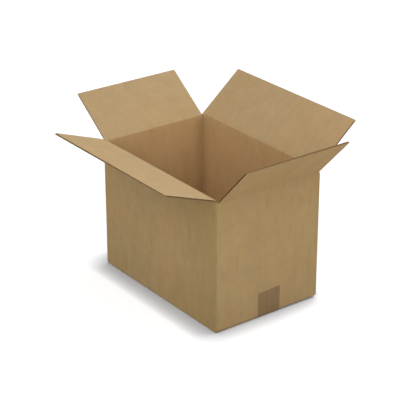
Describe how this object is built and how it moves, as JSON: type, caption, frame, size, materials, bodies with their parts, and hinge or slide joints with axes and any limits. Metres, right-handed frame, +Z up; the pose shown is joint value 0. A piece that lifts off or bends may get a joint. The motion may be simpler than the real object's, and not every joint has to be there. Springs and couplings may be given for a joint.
{
  "type": "cardboard box",
  "caption": "Rectangular corrugated shipping carton with a taped bottom and its hinged top flaps spread open.",
  "frame": {"origin": "on the floor, under the middle of the carton's closed bottom", "axes": "+Z up, +X along the carton's length towards the end wall whose tape tab the picture shows, +Y from the front long wall to the back one"},
  "size_m": [0.5185, 0.4248, 0.3375],
  "materials": {
    "board": "matte",
    "tape": "satin"
  },
  "bodies": {
    "carton": {"carton_body": "board", "bottom_tape": "tape"},
    "front_flap": {"front_flap": "board"},
    "back_flap": {"back_flap": "board"},
    "left_flap": {"left_flap": "board"},
    "right_flap": {"right_flap": "board"}
  },
  "joints": [
    {"name": "front_crease", "type": "hinge", "parent": "carton", "child": "front_flap", "pos_m": [0, -0.116, 0.256], "axis": [1, 0, 0], "range_deg": [-160, 108]},
    {"name": "back_crease", "type": "hinge", "parent": "carton", "child": "back_flap", "pos_m": [0, 0.116, 0.256], "axis": [-1, 0, 0], "range_deg": [-140, 128]},
    {"name": "left_crease", "type": "hinge", "parent": "carton", "child": "left_flap", "pos_m": [-0.175, 0, 0.2528], "axis": [0, -1, 0], "range_deg": [-144, 124]},
    {"name": "right_crease", "type": "hinge", "parent": "carton", "child": "right_flap", "pos_m": [0.175, 0, 0.2528], "axis": [0, 1, 0], "range_deg": [-133, 135]}
  ]
}
